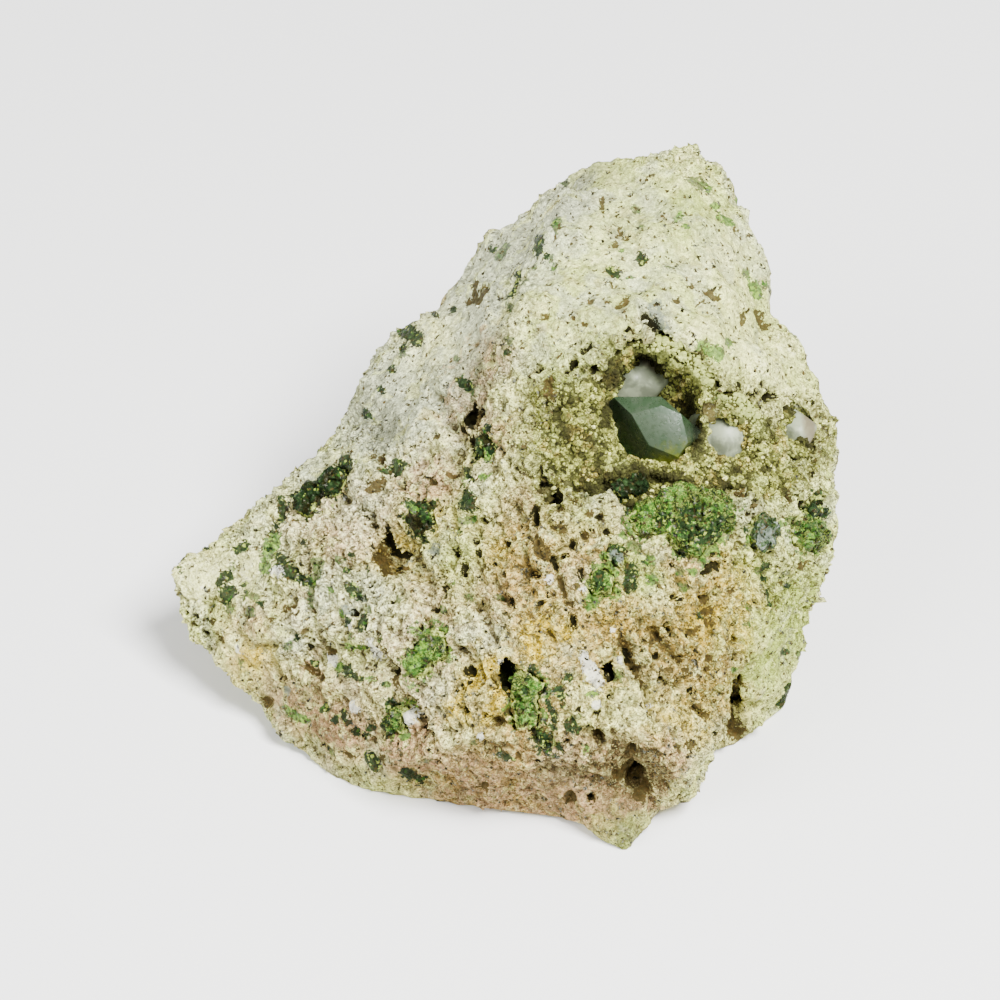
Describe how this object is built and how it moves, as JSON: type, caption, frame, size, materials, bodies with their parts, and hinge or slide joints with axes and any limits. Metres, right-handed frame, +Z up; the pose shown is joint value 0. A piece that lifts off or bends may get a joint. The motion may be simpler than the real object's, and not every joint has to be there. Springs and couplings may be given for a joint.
{
  "type": "demantoid garnet crystal on matrix",
  "caption": "Green garnet crystal in a druse-lined vug of a broken, granular cream and grey matrix stone with smaller garnet masses.",
  "frame": {"origin": "under the middle of the stone's box, on the flat break that it stands on", "axes": "+X to the right across the stone's longest side, +Y away from the eye, +Z up; the vug faces -Y and up"},
  "size_m": [0.0714, 0.0654, 0.0468],
  "materials": {
    "matrix": "matt granular broken rock, cream and grey with green and pink-brown patches",
    "druse": "matt to satin, small olive-yellow crystals",
    "demantoid": "clear dark green with satin, slightly frosted faces",
    "milky_crystal": "milky, clouded, satin",
    "green_garnet": "satin to glassy, cracked grains",
    "dark_garnet": "satin, dark flaky grains",
    "grey_garnet": "satin, clouded blue-grey grains"
  },
  "bodies": {
    "root": {"matrix_stone": "matrix", "vug_druse": "druse", "demantoid_crystal": "demantoid", "milky_crystal_upper": "milky_crystal", "milky_crystal_middle": "milky_crystal", "milky_crystal_right": "milky_crystal", "garnet_shelf_mass": "green_garnet", "garnet_dark_hollow": "dark_garnet", "garnet_right_grain": "green_garnet", "garnet_right_dark": "dark_garnet", "garnet_grey_grain": "grey_garnet", "garnet_blue_grain": "grey_garnet", "garnet_low_shelf_grain": "green_garnet", "garnet_centre_grain": "dark_garnet", "garnet_upper_grain": "dark_garnet", "garnet_shoulder_mass": "dark_garnet", "garnet_bright_grain": "green_garnet", "garnet_bottom_mass": "green_garnet", "garnet_bottom_dark": "dark_garnet", "garnet_left_low_mass": "green_garnet"}
  },
  "joints": []
}
